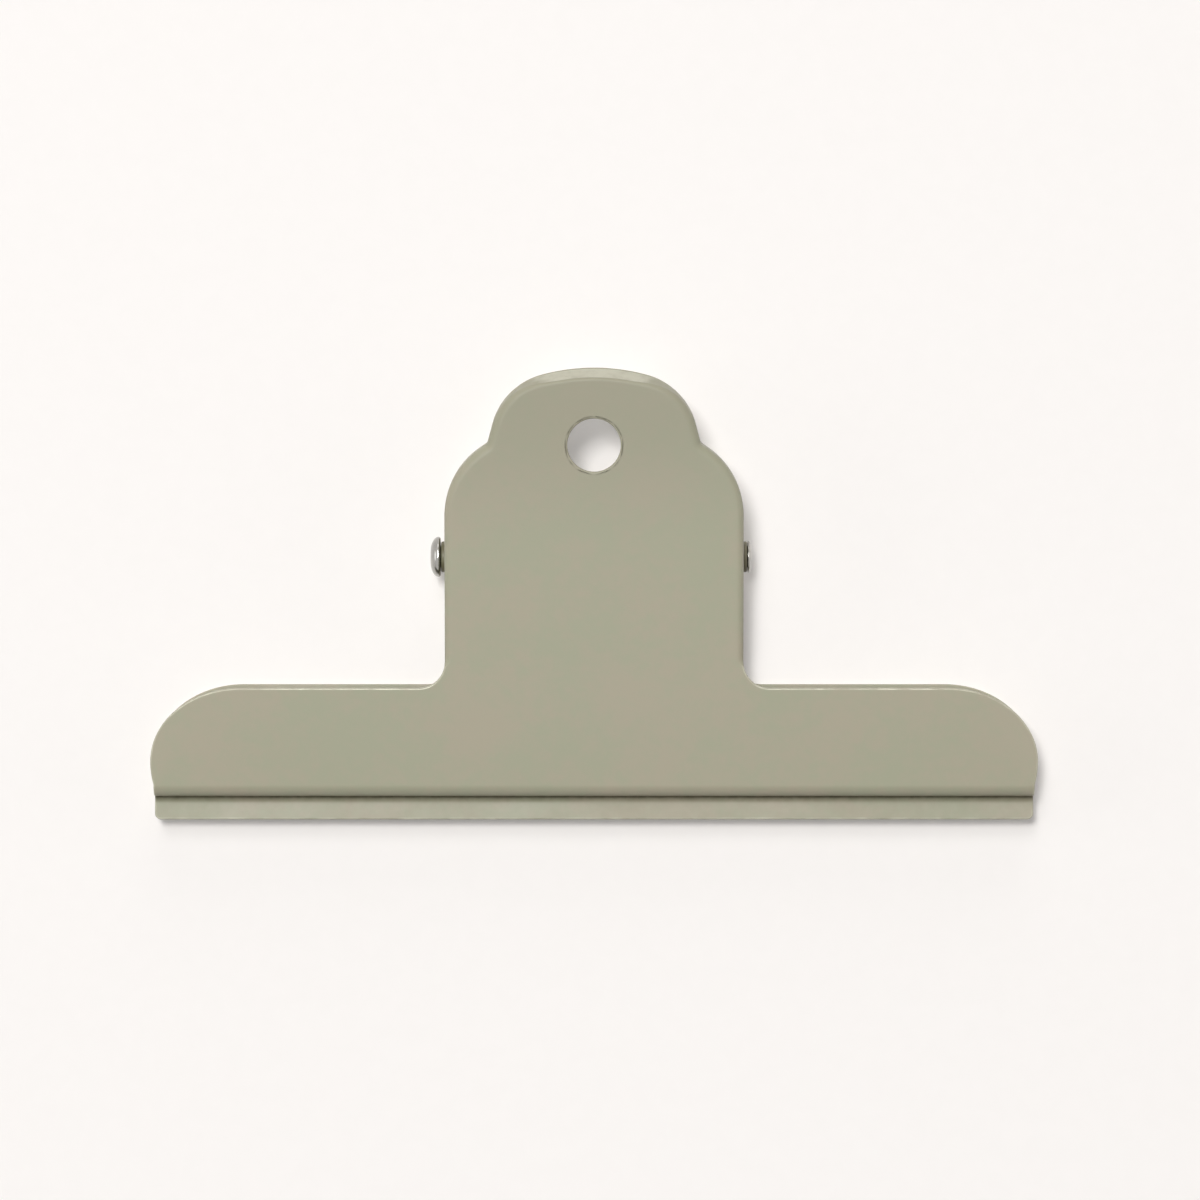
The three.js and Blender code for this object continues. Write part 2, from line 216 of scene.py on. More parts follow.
class Roll:
    """Where the sheet goes below the curl's start, as the distance down the sheet grows."""

    def __init__(self, flare):
        self.flare = flare
        self.curl_centre = Vector((0.0, -mouth.curl_radius))
        curl_end = self.curl_centre + outward(mouth.curl_turn) * mouth.curl_radius
        self.wall_start = curl_end
        wall_end = curl_end + down(mouth.curl_turn) * mouth.wall
        self.groove_centre = wall_end + outward(mouth.curl_turn) * mouth.groove_radius
        self.lip_start = self.groove_centre - outward(-flare) * mouth.groove_radius
        lip_end = self.lip_start + down(-flare) * mouth.lip
        self.start = -lip_end.x
        self.curl_run = (mouth.curl_radius - SHEET / 2) * math.radians(mouth.curl_turn)
        self.groove_run = (mouth.groove_radius + SHEET / 2) * math.radians(mouth.curl_turn + flare)
        self.total = self.curl_run + mouth.wall + self.groove_run + mouth.lip

    def at(self, run, z):
        """Place (y, z) of a point that lies run below the curl's start and z out of the face."""
        if run <= 0:
            return Vector((self.start - run, z))
        if run <= self.curl_run:
            turn = mouth.curl_turn * run / self.curl_run
            point = self.curl_centre + outward(turn) * (mouth.curl_radius + z)
        elif run <= self.curl_run + mouth.wall:
            point = self.wall_start + down(mouth.curl_turn) * (run - self.curl_run)
            point = point + outward(mouth.curl_turn) * z
        elif run <= self.curl_run + mouth.wall + self.groove_run:
            share = (run - self.curl_run - mouth.wall) / self.groove_run
            turn = mouth.curl_turn - (mouth.curl_turn + self.flare) * share
            point = self.groove_centre - outward(turn) * (mouth.groove_radius - z)
        else:
            beyond = run - self.curl_run - mouth.wall - self.groove_run
            point = self.lip_start + down(-self.flare) * beyond + outward(-self.flare) * z
        return Vector((point.x + self.start, point.y))

    def groove_shade(self, run):
        """How much painted shade a point of the face gets, 0 to 1: most in the groove, less on the lip."""
        begin = self.curl_run + mouth.wall * 0.5
        end = self.curl_run + mouth.wall + self.groove_run
        core = smooth(run, begin - 0.5, begin) * (1 - smooth(run, begin + 0.7, end + 0.9))
        return max(core, SHADE_ON_LIP * smooth(run, begin, end))


def opening_angle():
    """Angle between the plates at which the bulges inside the grooves lie a gap apart."""
    bulge = mouth.groove_radius + SHEET + GAP / 2
    half = 5.0
    for _ in range(20):
        roll = Roll(half + mouth.lip_flare)
        along = hinge.height - (roll.groove_centre.x + roll.start)
        rise = hinge.depth + roll.groove_centre.y
        half = math.degrees(math.acos(bulge / math.hypot(along, rise)) - math.atan2(along, rise))
    return 2 * half


OPENING = opening_angle()
roll = Roll(OPENING / 2 + mouth.lip_flare)

# Outline of a plate: stations (x, y, turn) all round it, with the shape of the edge at each

def between(normal, distance, centre, reach):
    """The point at a set distance from a line's foot and from a centre, on the upper side."""
    foot = normal * distance
    up = Vector((-normal.y, normal.x))
    offset = foot - centre
    middle = offset.dot(up)
    root = math.sqrt(middle * middle - offset.length_squared + reach * reach)
    return foot + up * (root - middle)


def angle_of(v):
    return math.degrees(math.atan2(v.y, v.x))


def ear_root(side):
    """Height at which the ear's flank meets the plain rim, below (-1) or above (1) the hinge."""
    flank = math.radians(hinge.ear_flank)
    drop = hinge.depth + hinge.ear_radius * math.sin(flank) - rim.depth
    return hinge.height + side * (hinge.ear_radius * math.cos(flank) + drop * math.tan(flank))


def rim_depth(y):
    """How far the turned-down edge reaches below the face, ear included, beside the height y."""
    flank = math.radians(hinge.ear_flank)
    beside = abs(y - hinge.height)
    tangent = hinge.ear_radius * math.cos(flank)
    if beside <= tangent:
        ear = hinge.depth + math.sqrt(hinge.ear_radius ** 2 - beside ** 2)
    else:
        ear = hinge.depth + hinge.ear_radius * math.sin(flank) - (beside - tangent) / math.tan(flank)
    shortest = SHEET + GAP
    foot = jaw.top + neck.foot_fillet
    rise = min(max((y - foot) / (ear_root(-1) - foot), 0.0), 1.0)
    return max(ear, shortest + (rim.depth - shortest) * rise)


def handle_stations(neck_half):
    """Stations up the right side of the handle and over to its middle."""
    radius = neck_half - head.shoulder_centre
    notch = Vector((head.notch_width / 2, head.notch_height))
    across = notch.x - head.shoulder_centre
    shoulder = Vector((head.shoulder_centre, notch.y - math.sqrt(radius ** 2 - across ** 2)))
    dome = Vector((0.0, head.tip - head.dome_radius))
    side = way(head.side_lean)
    distance = side.dot(notch)
    notch_centre = between(side, distance + head.notch_fillet, shoulder, radius + head.notch_fillet)
    corner = between(side, distance - head.corner_radius, dome, head.dome_radius - head.corner_radius)
    notch_turn = angle_of(notch_centre - shoulder)
    dome_turn = angle_of(corner - dome)

    found = [(neck_half, y, 0.0) for y in steps(jaw.top + neck.foot_fillet, ear_root(-1), 12)]
    found += [(neck_half, y, 0.0) for y in steps(ear_root(-1), hinge.height - hinge.ear_radius, 6)[1:]]
    for turn in steps(-80, 80, 28):
        found.append((neck_half, hinge.height + hinge.ear_radius * sine(turn), 0.0))
    found += [(neck_half, y, 0.0) for y in steps(hinge.height + hinge.ear_radius, ear_root(1), 6)]
    found += [(*(shoulder + way(a) * radius), a) for a in steps(0.0, notch_turn, 28)[1:]]
    for i, a in enumerate(steps(notch_turn + 180, head.side_lean + 180, 8)[1:], 1):
        point = notch_centre + way(a) * head.notch_fillet
        found.append((*point, notch_turn + (head.side_lean - notch_turn) * i / 8))
    for a in steps(head.side_lean, dome_turn, 18):
        found.append((*(corner + way(a) * head.corner_radius), a))
    found += [(*(dome + way(a) * head.dome_radius), a) for a in steps(dome_turn, 90, 24)[1:]]

    stations = []
    for x, y, turn in found:
        on_neck = smooth(y, shoulder.y, notch.y)
        crown = 1 - smooth(x, rim.crown_half, notch.x) if y > notch.y else 0.0
        bend = rim.neck_bend + (rim.head_bend - rim.neck_bend) * on_neck
        bend += (rim.crown_bend - bend) * crown
        stations.append(Sizes(x=x, y=y, turn=turn, bend=bend, lean=rim.crown_lean * crown,
                              depth=rim_depth(y)))
    return stations


def jaw_stations(neck_half):
    """Stations from the middle of the lip round the right end of the jaw to the neck's fillet."""
    half = jaw.length / 2
    end = Vector((half - jaw.end_radius, jaw.widest))
    low = math.degrees(math.asin((jaw.widest - roll.start) / jaw.end_radius))
    lip_half = (end + way(-low) * jaw.end_radius).x
    lip_y = roll.start - roll.total
    found = [(x, lip_y, -90.0) for x in steps(0.0, lip_half - mouth.lip_corner, 8)[:-1]]
    corner = Vector((lip_half - mouth.lip_corner, lip_y + mouth.lip_corner))
    found += [(*(corner + way(a) * mouth.lip_corner), a) for a in steps(-90.0, 0.0, 8)]
    groove = roll.start - roll.curl_run - mouth.wall - roll.groove_run
    found += [(lip_half, y, 0.0) for y in (groove - GUARD, groove)]
    found += [(lip_half, y, 0.0) for y in steps(groove, groove + roll.groove_run, 14)[1:]]
    found += [(lip_half, y, 0.0) for y in steps(roll.start - roll.curl_run, roll.start, 20)]
    found += [(*(end + way(a) * jaw.end_radius), a) for a in steps(-low, 0.0, 10)[1:]]
    for a in steps(0.0, 90.0, 28)[1:]:
        normal = Vector((way(a).x / jaw.corner_run, way(a).y / (jaw.top - jaw.widest)))
        found.append((half - jaw.corner_run * (1 - way(a).x),
                      jaw.widest + (jaw.top - jaw.widest) * way(a).y, angle_of(normal)))
    fillet = Vector((neck_half + neck.foot_fillet, jaw.top + neck.foot_fillet))
    found += [(x, jaw.top, 90.0) for x in steps(half - jaw.corner_run, fillet.x, 6)[1:]]
    found += [(*(fillet + way(a) * neck.foot_fillet), a - 180) for a in steps(270.0, 180.0, 10)[1:-1]]
    return [Sizes(x=x, y=y, turn=turn, bend=CUT_EDGE, lean=0.0, depth=0.0) for x, y, turn in found]


def cut_edge_section():
    """Round-cornered cut edge, as points (outward, z, wear), with as many points as a rim has."""
    r = CUT_EDGE
    points = [(-r - GUARD, 0.0, 0.0)]
    for turn in steps(0.0, 90.0, BEND_STEPS):
        points.append((-r + r * sine(turn), -r + r * cosine(turn), 1.0))
    points.append((0.0, -SHEET * 0.4, 0.8))
    points.append((0.0, -SHEET * 0.6, 0.8))
    for turn in steps(0.0, 90.0, CORNER_STEPS):
        points.append((-r + r * cosine(turn), -SHEET + r - r * sine(turn), 0.5))
    spare = CORNER_STEPS + BEND_STEPS + 5
    strip = 0.3
    points += [(-r - strip * (i + 1) / spare, -SHEET, 0.0) for i in range(spare)]
    return points


def rim_section(station):
    """Turned-down edge with a bend, a wall and a round-cornered foot, as points (outward, z, wear)."""
    turn = 90 - station.lean
    wall_way = Vector((cosine(turn), -sine(turn)))
    inward = Vector((wall_way.y, -wall_way.x))
    foot = Vector((0.0, -station.depth))
    inner_foot = foot + inward * SHEET

    def bend_start(end, z, radius):
        length = (z - radius * (1 - cosine(turn)) - end.y) / -wall_way.y
        return end.x - radius * sine(turn) - length * wall_way.x

    def bent(start, z, radius):
        return [Vector((start + radius * sine(a), z - radius * (1 - cosine(a))))
                for a in steps(0.0, turn, BEND_STEPS)]

    r = min(CUT_EDGE, (station.depth - SHEET) * 0.5)
    inner_bend = max(station.bend - SHEET, 0.1)
    start = bend_start(foot, 0.0, station.bend)
    inner_start = bend_start(inner_foot, -SHEET, inner_bend)
    outer = bent(start, 0.0, station.bend)
    inner = bent(inner_start, -SHEET, inner_bend)
    wall = foot - outer[-1]
    guard = min(GUARD, wall.length * 0.3)
    # The crown's leaning wall takes a painted sheen through the edge marks
    brightened = CROWN_SHEEN * station.lean / rim.crown_lean
    points = [(start - GUARD, 0.0, 0.0)]
    points += [(p.x, p.y, 0.25) for p in outer]
    high = outer[-1] + wall.normalized() * guard
    low = foot - wall.normalized() * (r + guard)
    points += [(high.x, high.y, brightened), (low.x, low.y, brightened)]
    for turn_now in steps(0.0, 90.0, CORNER_STEPS):
        shift = wall_way * -r + inward * r
        p = foot + shift - inward * r * cosine(turn_now) + wall_way * r * sine(turn_now)
        points.append((p.x, p.y, 0.5))
    for turn_now in steps(0.0, 90.0, CORNER_STEPS):
        shift = wall_way * -r - inward * r
        p = inner_foot + shift + wall_way * r * cosine(turn_now) + inward * r * sine(turn_now)
        points.append((p.x, p.y, 0.5))
    inner_wall = inner[-1] - inner_foot
    inner_guard = min(GUARD, inner_wall.length * 0.3)
    low = inner_foot + inner_wall.normalized() * (r + inner_guard)
    high = inner[-1] - inner_wall.normalized() * inner_guard
    points += [(low.x, low.y, 0.0), (high.x, high.y, 0.0)]
    points += [(p.x, p.y, 0.0) for p in reversed(inner)]
    points.append((inner_start - GUARD, -SHEET, 0.0))
    return points


# Numbers of the points in a rim's section: where its walls begin, and the first on the inner side

OUTER_WALL = BEND_STEPS + 2
INNER_WALL = OUTER_WALL + 2 * (CORNER_STEPS + 1) + 2
INNER_SIDE = OUTER_WALL + CORNER_STEPS + 3


def hole_profile(radius, face=0.0, boss_radius=None):
    """Edge of a hole from the outer face to the inner one, as points (radius, out, wear)."""
    r = HOLE_EDGE
    points = []
    if face > 0:
        fillet = min(BOSS_FILLET, face / 2)
        points.append((boss_radius + fillet + GUARD, 0.0, 0.0))
        for a in steps(0.0, 90.0, HOLE_STEPS):
            points.append((boss_radius + fillet - fillet * sine(a), fillet - fillet * cosine(a), 0.2))
        for a in steps(0.0, 90.0, HOLE_STEPS):
            points.append((boss_radius - r + r * cosine(a), face - r + r * sine(a), 0.7))
    else:
        points.append((radius + r + GUARD, 0.0, 0.0))
    for a in steps(0.0, 90.0, HOLE_STEPS):
        points.append((radius + r - r * sine(a), face - r + r * cosine(a), 0.5))
    for a in steps(0.0, 90.0, HOLE_STEPS):
        points.append((radius + r - r * cosine(a), -SHEET + r - r * sine(a), 0.5))
    points.append((radius + r + GUARD, -SHEET, 0.0))
    return points


def add_hole(skin, centre, across, up, out, profile, sides, recess=0.0):
    """Rings round a hole, clockwise seen from outside. Gives the rows, one for each direction."""
    rows = []
    for i in range(sides):
        a = -360.0 * i / sides
        # Points standing out of the face on a boss take the painted shade share
        rows.append([skin.add(centre + (across * way(a).x + up * way(a).y) * radius + out * height, wear_and_sheen,
                              recess=recess if height > 0 else 0.0) for radius, height, wear_and_sheen in profile])
    skin.bridge(rows, closed=True)
    return rows


def plate_skin(neck_width, hole_width, boss_height):
    """One plate: the flat sheet with its rolled mouth, the rim with its ears, and the holes."""
    neck_half = neck_width / 2
    right = jaw_stations(neck_half) + handle_stations(neck_half)
    left = [Sizes(x=-s.x, y=s.y, turn=180 - s.turn, bend=s.bend, lean=s.lean, depth=s.depth)
            for s in reversed(right[1:-1])]
    stations = right + left
    skin = Skin()
    flat = {}
    rows = []
    for s in stations:
        out = way(s.turn)
        section = rim_section(s) if s.depth > 0 else cut_edge_section()
        row = []
        for k, (distance, z, wear_and_sheen) in enumerate(section):
            x, y = s.x + out.x * distance, s.y + out.y * distance
            place = roll.at(roll.start - y, z)
            # Painted shade: the groove's share on the outer side, the shade between the plates on the inner
            # side
            shade_share = roll.groove_shade(roll.start - y) if k < INNER_SIDE else SHADE_INSIDE
            number = skin.add((x, place.x, place.y), wear_and_sheen, recess=shade_share)
            flat[number] = (x, y)
            row.append(number)
        rows.append(row)

    is_ear = [s.depth > 0 and ear_root(-1) <= s.y <= ear_root(1) + 1e-6 and abs(s.turn % 180) < 1e-6
              for s in stations]
    count = len(stations)

    def in_ear(i, k):
        return k in (OUTER_WALL, INNER_WALL) and is_ear[i] and is_ear[(i + 1) % count]

    skin.bridge(rows, closed=True, skip=in_ear)

    hole = hole_profile(hole_width / 2)
    hang = add_hole(skin, Vector((0, hanging.height, 0)), Vector((1, 0, 0)), Vector((0, 1, 0)),
                    Vector((0, 0, 1)), hole, HANGING_SIDES)
    for row in hang:
        for number in row:
            flat[number] = skin.points[number].xy
    lip_end = roll.start - roll.total
    lines_at = [i for i, s in enumerate(right)
                if s.depth == 0 and abs(s.turn) < 1e-6 and lip_end < s.y <= roll.start + 1e-6]
    partner = {i: count - i for i in lines_at}

    def inside_hole(p):
        return (p - Vector((0, hanging.height))).length < hole_width / 2

    for k, flip in ((0, False), (-1, True)):
        edge = [row[k] for row in rows]
        ring = [row[k] for row in hang]
        lines = [(edge[i], edge[partner[i]]) for i in lines_at]
        skin.fill([edge, ring], lambda n: flat[n], lines, flip, inside_hole)

    bore = hinge.rod_diameter / 2 + GAP
    profile = hole_profile(bore, boss_height, hinge.boss_diameter / 2)
    for side in (1, -1):
        centre = Vector((side * neck_half, hinge.height, -hinge.depth))
        across, up, out = Vector((0, side, 0)), Vector((0, 0, 1)), Vector((side, 0, 0))
        rings = add_hole(skin, centre, across, up, out, profile, BORE_SIDES, SHADE_ON_BOSS[side])
        ear = [i for i in range(count) if is_ear[i] and stations[i].x * side > 0]
        for wall, k, flip in ((OUTER_WALL, 0, False), (INNER_WALL, -1, True)):
            top = [rows[i][wall] for i in ear]
            foot = [rows[i][wall + 1] for i in ear]
            reach = profile[k][0]
            skin.fill([top + foot[::-1], [r[k] for r in rings]],
                      lambda n: (skin.points[n].y * side, skin.points[n].z), (), flip,
                      lambda p: (p - Vector((hinge.height * side, -hinge.depth))).length < reach * 0.98)
    return skin


# Hinge rod: a domed head on the left, a plain shank and an upset end on the right

def lathe_skin(profile):
    """A turned piece on the X axis. The profile is points (x, radius, wear) from left to right."""
    skin = Skin()
    rows = []
    for i in range(ROD_SIDES):
        turn = way(360.0 * i / ROD_SIDES)
        rows.append([skin.add((x, turn.x * radius, turn.y * radius), wear_and_sheen, (x, turn.x, turn.y))
                     for x, radius, wear_and_sheen in profile[1:-1]])
    skin.bridge(rows, closed=True)
    left = skin.add((profile[0][0], 0, 0), profile[0][2], (profile[0][0], 0, 0))
    right = skin.add((profile[-1][0], 0, 0), profile[-1][2], (profile[-1][0], 0, 0))
    for i in range(ROD_SIDES):
        here, there = rows[i], rows[(i + 1) % ROD_SIDES]
        skin.faces.append((left, here[0], there[0]))
        skin.faces.append((right, there[-1], here[-1]))
    return skin


def rod_profile():
    """The rod from its head to its upset end, as points (x, radius, wear)."""
    seat = neck.width / 2 + hinge.boss_height + SEAT_GAP
    end = neck.width / 2 + hinge.boss_height + GAP
    thick = end + rod_ends.head_height - seat
    radius = hinge.rod_diameter / 2
    head_radius = rod_ends.head_diameter / 2
    flat_radius = head_radius * 0.3
    points = [(-seat - thick, 0.0, 0.3), (-seat - thick, flat_radius, 0.3)]
    for a in steps(0.0, 90.0, 14)[1:]:
        points.append((-seat - HEAD_EDGE - (thick - HEAD_EDGE) * cosine(a),
                       flat_radius + (head_radius - flat_radius) * sine(a), 0.6))
    for a in steps(0.0, 90.0, 6)[1:]:
        points.append((-seat - HEAD_EDGE + HEAD_EDGE * sine(a),
                       head_radius - HEAD_EDGE + HEAD_EDGE * cosine(a), 0.9))
    points += [(-seat, radius + ROD_EDGE, 0.0), (-seat + ROD_EDGE, radius, 0.0)]
    points += [(x, radius, 0.0) for x in steps(-seat + GUARD + ROD_EDGE, seat - GUARD - ROD_EDGE, 20)]
    points += [(seat - ROD_EDGE, radius, 0.0), (seat, radius + ROD_EDGE, 0.0)]
    upset = rod_ends.upset_diameter / 2
    points.append((seat, upset - ROD_EDGE, 0.8))
    for a in steps(0.0, 90.0, 4)[1:]:
        points.append((seat + ROD_EDGE - ROD_EDGE * cosine(a), upset - ROD_EDGE + ROD_EDGE * sine(a), 0.9))
    for a in steps(0.0, 90.0, 8)[1:]:
        points.append((seat + ROD_EDGE + (end + rod_ends.upset_height - seat - ROD_EDGE) * sine(a),
                       upset - upset * 0.5 * (1 - cosine(a)), 0.6))
    points.append((end + rod_ends.upset_height, 0.0, 0.5))
    return points


# Torsion spring: a straight leg, the turns and the other straight leg, in one wire

def spring_wire():
    """Middle line of the wire, as points (x along the rod, y, z), and the turns' length."""
    coil = hinge.rod_diameter / 2 + spring.rod_clearance + spring.wire / 2
    pitch = spring.wire + spring.turn_gap
    reach = hinge.depth - SHEET - GAP - spring.wire / 2
    slope = math.degrees(math.asin(reach / math.hypot(coil, spring.leg)) - math.atan2(coil, spring.leg))
    away = OPENING / 2 + slope
    turned = 180 - 2 * away + 360 * spring.turns
    length = pitch * turned / 360
    count = round(turned / COIL_STEP)
    top, low = way(90 + away) * coil, way(-90 - away) * coil
    along_leg = (0.04, 0.2, 0.4, 0.6, 0.8, 0.98, 1.0)
    points = []
    for share in reversed(along_leg):
        points.append((-length / 2, *(top + way(away) * spring.leg * share)))
    for i in range(count + 1):
        points.append((length * (i / count - 0.5), *(way(90 + away + turned * i / count) * coil)))
    for share in along_leg:
        points.append((length / 2, *(low + way(-away) * spring.leg * share)))
    return [Vector(p) for p in points], length


def wire_skin(points, radius):
    """A round wire with slightly rounded cut ends."""
    skin = Skin()
    rows = []
    normal = Vector((1.0, 0.0, 0.0))
    run = 0.0
    ends = [(0.0, 0.82), (0.1, 0.94), (0.25, 1.0)]
    last = len(points) - 1
    stops = []
    for i, point in enumerate(points):
        tangent = (points[min(i + 1, last)] - points[max(i - 1, 0)]).normalized()
        if i == 0:
            stops += [(point + tangent * radius * d, tangent, share) for d, share in ends]
        elif i == last:
            stops += [(point - tangent * radius * d, tangent, share) for d, share in reversed(ends)]
        else:
            stops.append((point, tangent, 1.0))
    before = stops[0][0]
    for point, tangent, share in stops:
        normal = (normal - tangent * normal.dot(tangent)).normalized()
        side = tangent.cross(normal)
        run += (point - before).length
        before = point
        brightened = 1.0 if share < 1.0 else 0.0
        row = []
        for k in range(WIRE_SIDES):
            turn = way(360.0 * k / WIRE_SIDES)
            row.append(skin.add(point + (normal * turn.x + side * turn.y) * radius * share, brightened,
                                (run, turn.x, turn.y)))
        rows.append(row + row[:1])
    skin.bridge([list(reversed(row)) for row in rows])
    skin.faces.append(tuple(reversed(rows[0][:-1])))
    skin.faces.append(tuple(rows[-1][:-1]))
    return skin


# Shared surface effects, as node groups with named sockets

class Group:
    """A node group and the means to fill it."""

    def __init__(self, name, inputs, outputs):
        self.tree = bpy.data.node_groups.new(name, "ShaderNodeTree")
        for label, kind, default in inputs:
            socket = self.tree.interface.new_socket(label, in_out="INPUT", socket_type=kind)
            if default is not None:
                socket.default_value = default
        for label, kind in outputs:
            self.tree.interface.new_socket(label, in_out="OUTPUT", socket_type=kind)
        self.inside = self.tree.nodes.new("NodeGroupInput")
        self.outside = self.tree.nodes.new("NodeGroupOutput")


def node(tree, kind, **settings):
    made = tree.nodes.new(kind)
    for label, value in settings.items():
        setattr(made, label, value)
    return made


def math_node(tree, operation, first, second=None, clamp=False):
    made = node(tree, "ShaderNodeMath", operation=operation, use_clamp=clamp)
    for socket, value in zip(made.inputs, (first, second)):
        if value is None:
            continue
        if isinstance(value, (int, float)):
            socket.default_value = value
        else:
            tree.links.new(value, socket)
    return made.outputs[0]


def noise_node(tree, vector, scale, detail, roughness):
    made = node(tree, "ShaderNodeTexNoise")
    made.inputs["Detail"].default_value = detail
    made.inputs["Roughness"].default_value = roughness
    tree.links.new(vector, made.inputs["Vector"])
    if isinstance(scale, (int, float)):
        made.inputs["Scale"].default_value = scale
    else:
        tree.links.new(scale, made.inputs["Scale"])
    return made.outputs["Fac"]


def range_node(tree, value, low, high, new_low=0.0, new_high=1.0):
    made = node(tree, "ShaderNodeMapRange", interpolation_type="SMOOTHSTEP")
    tree.links.new(value, made.inputs["Value"])
    for label, number in (("From Min", low), ("From Max", high), ("To Min", new_low), ("To Max", new_high)):
        made.inputs[label].default_value = number
    return made.outputs["Result"]


def mix_colours(tree, share, first, second):
    made = node(tree, "ShaderNodeMix", data_type="RGBA")
    sockets = (made.inputs[0], made.inputs[6], made.inputs[7])
    for socket, value in zip(sockets, (share, first, second)):
        if isinstance(value, bpy.types.NodeSocket):
            tree.links.new(value, socket)
        else:
            socket.default_value = value
    return made.outputs[2]


def orange_peel_group():
    """Fine waviness of a baked coat, with scattered pinpricks of grit under it."""
    made = Group("orange_peel", [("Place", "NodeSocketVector", None),
                                 ("Wave Scale", "NodeSocketFloat", 900.0),
                                 ("Grit Scale", "NodeSocketFloat", 2600.0)],
                 [("Height", "NodeSocketFloat")])
    tree = made.tree
    place = made.inside.outputs["Place"]
    wave = noise_node(tree, place, made.inside.outputs["Wave Scale"], 2.0, 0.45)
    grit = noise_node(tree, place, made.inside.outputs["Grit Scale"], 1.0, 0.5)
    grains = range_node(tree, grit, 0.62, 0.78)
    height = math_node(tree, "ADD", wave, math_node(tree, "MULTIPLY", grains, 0.35))
    tree.links.new(height, made.outside.inputs["Height"])
    return tree


def tone_drift_group():
    """Slow drift of a coat between two tones, with a finer mottle inside it."""
    made = Group("tone_drift", [("Place", "NodeSocketVector", None), ("Cool", "NodeSocketColor", None),
                                ("Warm", "NodeSocketColor", None), ("Scale", "NodeSocketFloat", 90.0)],
                 [("Color", "NodeSocketColor")])
    tree = made.tree
    place = made.inside.outputs["Place"]
    slow = noise_node(tree, place, made.inside.outputs["Scale"], 2.0, 0.5)
    fine_scale = math_node(tree, "MULTIPLY", made.inside.outputs["Scale"], 7.0)
    fine = noise_node(tree, place, fine_scale, 2.0, 0.6)
    both = math_node(tree, "ADD", math_node(tree, "MULTIPLY", slow, 0.6),
                     math_node(tree, "MULTIPLY", fine, 0.4))
    mask = range_node(tree, both, 0.36, 0.64)
    colour = mix_colours(tree, mask, made.inside.outputs["Cool"], made.inside.outputs["Warm"])
    tree.links.new(colour, made.outside.inputs["Color"])
    return tree


def edge_wear_and_sheen_group():
    """Mask of the places where hands and paper rub a marked edge, and of the painted sheen on the crown's
    wall.
    """
    made = Group("edge_wear_and_sheen", [("Edge", "NodeSocketFloat", 0.0), ("Place", "NodeSocketVector", None),
                               ("Scale", "NodeSocketFloat", 400.0)], [("Mask", "NodeSocketFloat")])
    tree = made.tree
    broken = noise_node(tree, made.inside.outputs["Place"], made.inside.outputs["Scale"], 4.0, 0.65)
    both = math_node(tree, "ADD", made.inside.outputs["Edge"], math_node(tree, "MULTIPLY", broken, 0.9))
    mask = range_node(tree, both, 1.15, 1.75)
    tree.links.new(mask, made.outside.inputs["Mask"])
    return tree


def shade_in_hollows_group():
    """Mask of the painted shade laid into the colour of a marked hollow."""
    made = Group("shade_in_hollows", [("Recess", "NodeSocketFloat", 0.0), ("Place", "NodeSocketVector", None),
                                 ("Scale", "NodeSocketFloat", 400.0)], [("Mask", "NodeSocketFloat")])
    tree = made.tree
    uneven = noise_node(tree, made.inside.outputs["Place"], made.inside.outputs["Scale"], 3.0, 0.6)
    level = range_node(tree, uneven, 0.2, 0.8, 0.6, 0.95)
    mask = math_node(tree, "MULTIPLY", made.inside.outputs["Recess"], level)
    tree.links.new(mask, made.outside.inputs["Mask"])
    return tree


def metal_run_group():
    """Fine lines along drawn or turned metal, from the run marks of the piece."""
    made = Group("metal_run", [("Run", "NodeSocketVector", None),
                               ("Stretch", "NodeSocketVector", (1.0, 1.0, 1.0)),
                               ("Scale", "NodeSocketFloat", 1.0)],
                 [("Height", "NodeSocketFloat"), ("Mask", "NodeSocketFloat")])
    tree = made.tree
    stretched = node(tree, "ShaderNodeVectorMath", operation="MULTIPLY")
    tree.links.new(made.inside.outputs["Run"], stretched.inputs[0])
    tree.links.new(made.inside.outputs["Stretch"], stretched.inputs[1])
    lines = noise_node(tree, stretched.outputs[0], made.inside.outputs["Scale"], 3.0, 0.6)
    tree.links.new(lines, made.outside.inputs["Height"])
    tree.links.new(range_node(tree, lines, 0.35, 0.65), made.outside.inputs["Mask"])
    return tree


orange_peel = orange_peel_group()
tone_drift = tone_drift_group()
edge_wear_and_sheen = edge_wear_and_sheen_group()
shade_in_hollows = shade_in_hollows_group()
metal_run = metal_run_group()


def new_material(name):
    material = bpy.data.materials.new(name)
    material.use_nodes = True
    return material, material.node_tree, material.node_tree.nodes["Principled BSDF"]


def place_group(tree, group, **values):
    made = node(tree, "ShaderNodeGroup", node_tree=group)
    for label, value in values.items():
        socket = made.inputs[label.replace("_", " ")]
        if isinstance(value, bpy.types.NodeSocket):
            tree.links.new(value, socket)
        else:
            socket.default_value = value
    return made


def own_place(tree):
    return node(tree, "ShaderNodeTexCoord").outputs["Object"]


def mark(tree, name, output):
    return node(tree, "ShaderNodeAttribute", attribute_name=name).outputs[output]


def bump_into(tree, shader, height, strength, distance):
    bump = node(tree, "ShaderNodeBump")
    bump.inputs["Strength"].default_value = strength
    bump.inputs["Distance"].default_value = distance
    tree.links.new(height, bump.inputs["Height"])
    tree.links.new(bump.outputs["Normal"], shader.inputs["Normal"])


